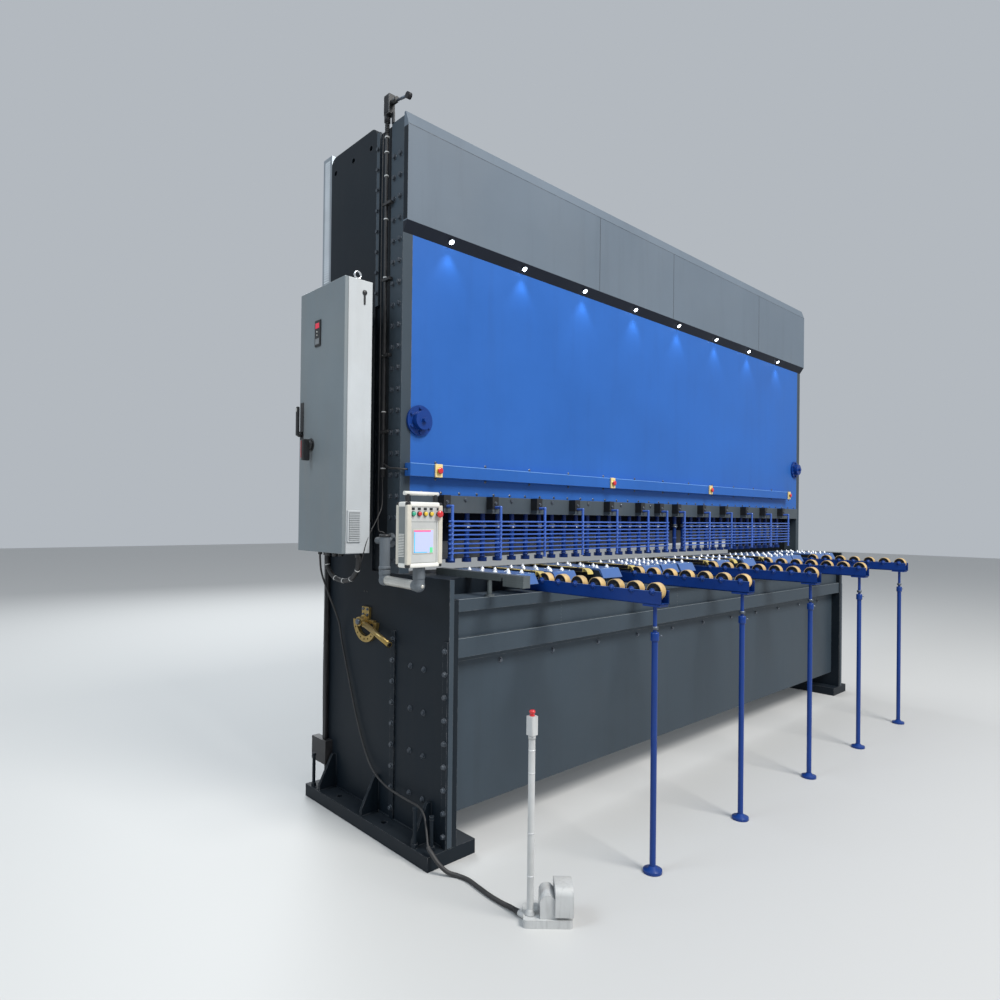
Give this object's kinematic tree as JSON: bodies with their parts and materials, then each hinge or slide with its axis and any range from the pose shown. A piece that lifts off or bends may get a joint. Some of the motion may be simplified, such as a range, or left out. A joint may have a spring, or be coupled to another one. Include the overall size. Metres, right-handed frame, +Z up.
{
  "type": "hydraulic shearing machine",
  "caption": "Hydraulic guillotine shear with finger guard, hold-downs, roller support arms, electrical cabinet, swing control panel and foot pedal.",
  "frame": {"origin": "middle of the footprint on the floor", "axes": "+X to the right along the blades, +Y from the operator to the rear, +Z up"},
  "size_m": [4.593, 1.728, 3.36],
  "materials": {
    "frame_paint": "satin slate grey paint",
    "fascia_paint": "satin mid grey paint",
    "panel_blue": "satin blue paint",
    "arm_blue": "gloss royal blue paint",
    "plate_blue": "satin light blue paint",
    "beam_black": "satin dark paint",
    "steel": "ground steel",
    "bar_steel": "grey steel bar",
    "chrome": "bright plated",
    "tread_yellow": "yellow wheel tread",
    "strip_yellow": "yellow wear strip",
    "cabinet_grey": "light grey powder coat",
    "housing_beige": "pale beige powder coat",
    "box_cream": "cream plastic",
    "stop_red": "red plastic",
    "black_plastic": "black plastic",
    "cable_black": "black cable jacket",
    "lamp_white": "lit lamp lens",
    "brass": "yellow passivated",
    "pedal_white": "white powder coat",
    "tray_zinc": "zinc plated sheet"
  },
  "bodies": {
    "frame": {"side_frame_left": "frame_paint", "side_frame_right": "frame_paint", "base_plate_left": "frame_paint", "base_plate_right": "frame_paint", "guide_post_left": "frame_paint", "guide_post_right": "frame_paint", "fascia_cover": "fascia_paint", "fascia_lamps": "lamp_white", "top_cover": "frame_paint", "rear_panel": "frame_paint", "rear_cross_beam": "frame_paint", "front_panel": "panel_blue", "guide_housings": "arm_blue", "emergency_stop_rail": "panel_blue", "emergency_stop_boxes": "box_cream", "emergency_stop_buttons": "stop_red", "hold_down_beam": "beam_black", "guard_left": "panel_blue", "guard_right": "panel_blue", "front_ledge": "frame_paint", "front_band": "frame_paint", "front_apron": "frame_paint", "table_bed": "frame_paint", "lower_blade": "steel", "ram_cylinders": "fascia_paint", "squaring_arm": "bar_steel", "arm_channel_1": "arm_blue", "arm_channel_2": "arm_blue", "arm_channel_3": "arm_blue", "arm_channel_4": "arm_blue", "arm_channel_5": "arm_blue", "arm_wheels": "tread_yellow", "arm_axles": "chrome", "arm_legs": "arm_blue", "ball_plates": "plate_blue", "ball_units": "chrome", "slide_strips": "strip_yellow", "cabinet_body": "cabinet_grey", "panel_bracket": "housing_beige", "gap_quadrant": "brass", "limit_switch": "black_plastic", "rear_cable_tray": "tray_zinc", "side_conduits": "black_plastic", "pedal_base": "pedal_white", "pedal_post": "pedal_white", "pedal_stop_button": "stop_red", "pedal_cable": "cable_black", "cabinet_cable": "cable_black", "cabinet_eye": "chrome"},
    "ram": {"ram": "arm_blue", "upper_blade": "steel"},
    "hold_downs": {"hold_down_rods": "arm_blue"},
    "door": {"cabinet_door": "cabinet_grey"},
    "isolator": {"isolator_knob": "stop_red"},
    "door_handle": {"door_handle": "black_plastic"},
    "panel_arm": {"panel_arm": "housing_beige", "arm_elbows": "fascia_paint"},
    "control_panel": {"control_panel": "housing_beige"},
    "gap_lever": {"gap_lever": "brass"}
  },
  "joints": [
    {"name": "ram_slide", "type": "slide", "parent": "frame", "child": "ram", "axis": [0, 0, -1], "range_m": [0, 0.15]},
    {"name": "hold_down_slide", "type": "slide", "parent": "frame", "child": "hold_downs", "axis": [0, 0, -1], "range_m": [0, 0.026]},
    {"name": "door_hinge", "type": "hinge", "parent": "frame", "child": "door", "pos_m": [-2.2505, 0.207, 1.85], "axis": [0, 0, 1], "range_deg": [0, 110]},
    {"name": "isolator_turn", "type": "hinge", "parent": "door", "child": "isolator", "pos_m": [-2.2515, 0.492, 1.745], "axis": [1, 0, 0], "range_deg": [0, 90]},
    {"name": "door_handle_turn", "type": "hinge", "parent": "door", "child": "door_handle", "pos_m": [-2.2515, 0.581, 1.8], "axis": [1, 0, 0], "range_deg": [0, 90]},
    {"name": "panel_arm_swing", "type": "hinge", "parent": "frame", "child": "panel_arm", "pos_m": [-2.0815, 0.131, 1.14], "axis": [0, 0, 1], "range_deg": [-45, 0]},
    {"name": "panel_turn", "type": "hinge", "parent": "panel_arm", "child": "control_panel", "pos_m": [-2.1215, -0.174, 1.218], "axis": [0, 0, 1], "range_deg": [-60, 60]},
    {"name": "gap_lever_turn", "type": "hinge", "parent": "frame", "child": "gap_lever", "pos_m": [-2.0235, 0.388, 0.924], "axis": [1, 0, 0], "range_deg": [-40, 40]}
  ]
}
